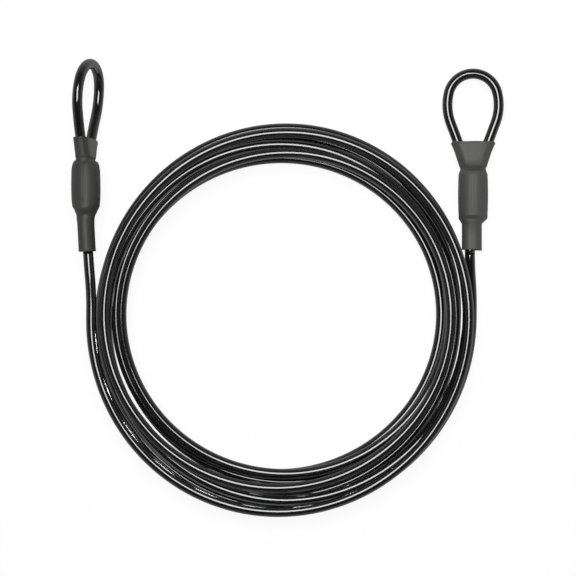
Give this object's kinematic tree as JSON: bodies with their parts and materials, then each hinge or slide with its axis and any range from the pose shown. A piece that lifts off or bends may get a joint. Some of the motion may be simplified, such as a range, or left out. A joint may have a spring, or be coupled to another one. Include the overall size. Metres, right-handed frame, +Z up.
{
  "type": "two-eye security cable",
  "caption": "Vinyl-coated steel security cable wound in a loose coil, with a crimped eye under a heat-shrink sleeve at each end.",
  "frame": {"origin": "middle of the part's box, on the surface that it lies on", "axes": "+Z up along the coil's axis, +Y from the coil towards the two eyes, +X from the left end to the right end"},
  "size_m": [0.211, 0.2222, 0.0291],
  "materials": {
    "vinyl_jacket": "glossy black vinyl",
    "wire_rope": "galvanised strands",
    "ferrule": "pressed, satin",
    "shrink_sleeve": "matte dark grey"
  },
  "bodies": {
    "root": {"coil_jacket": "vinyl_jacket", "left_lead_jacket": "vinyl_jacket", "right_lead_jacket": "vinyl_jacket", "left_eye_jacket": "vinyl_jacket", "right_eye_jacket": "vinyl_jacket", "coil_wire_rope": "wire_rope", "left_lead_wire_rope": "wire_rope", "right_lead_wire_rope": "wire_rope", "left_eye_wire_rope": "wire_rope", "right_eye_wire_rope": "wire_rope", "left_ferrule": "ferrule", "right_ferrule": "ferrule", "left_shrink_sleeve": "shrink_sleeve", "right_shrink_sleeve": "shrink_sleeve"}
  },
  "joints": []
}
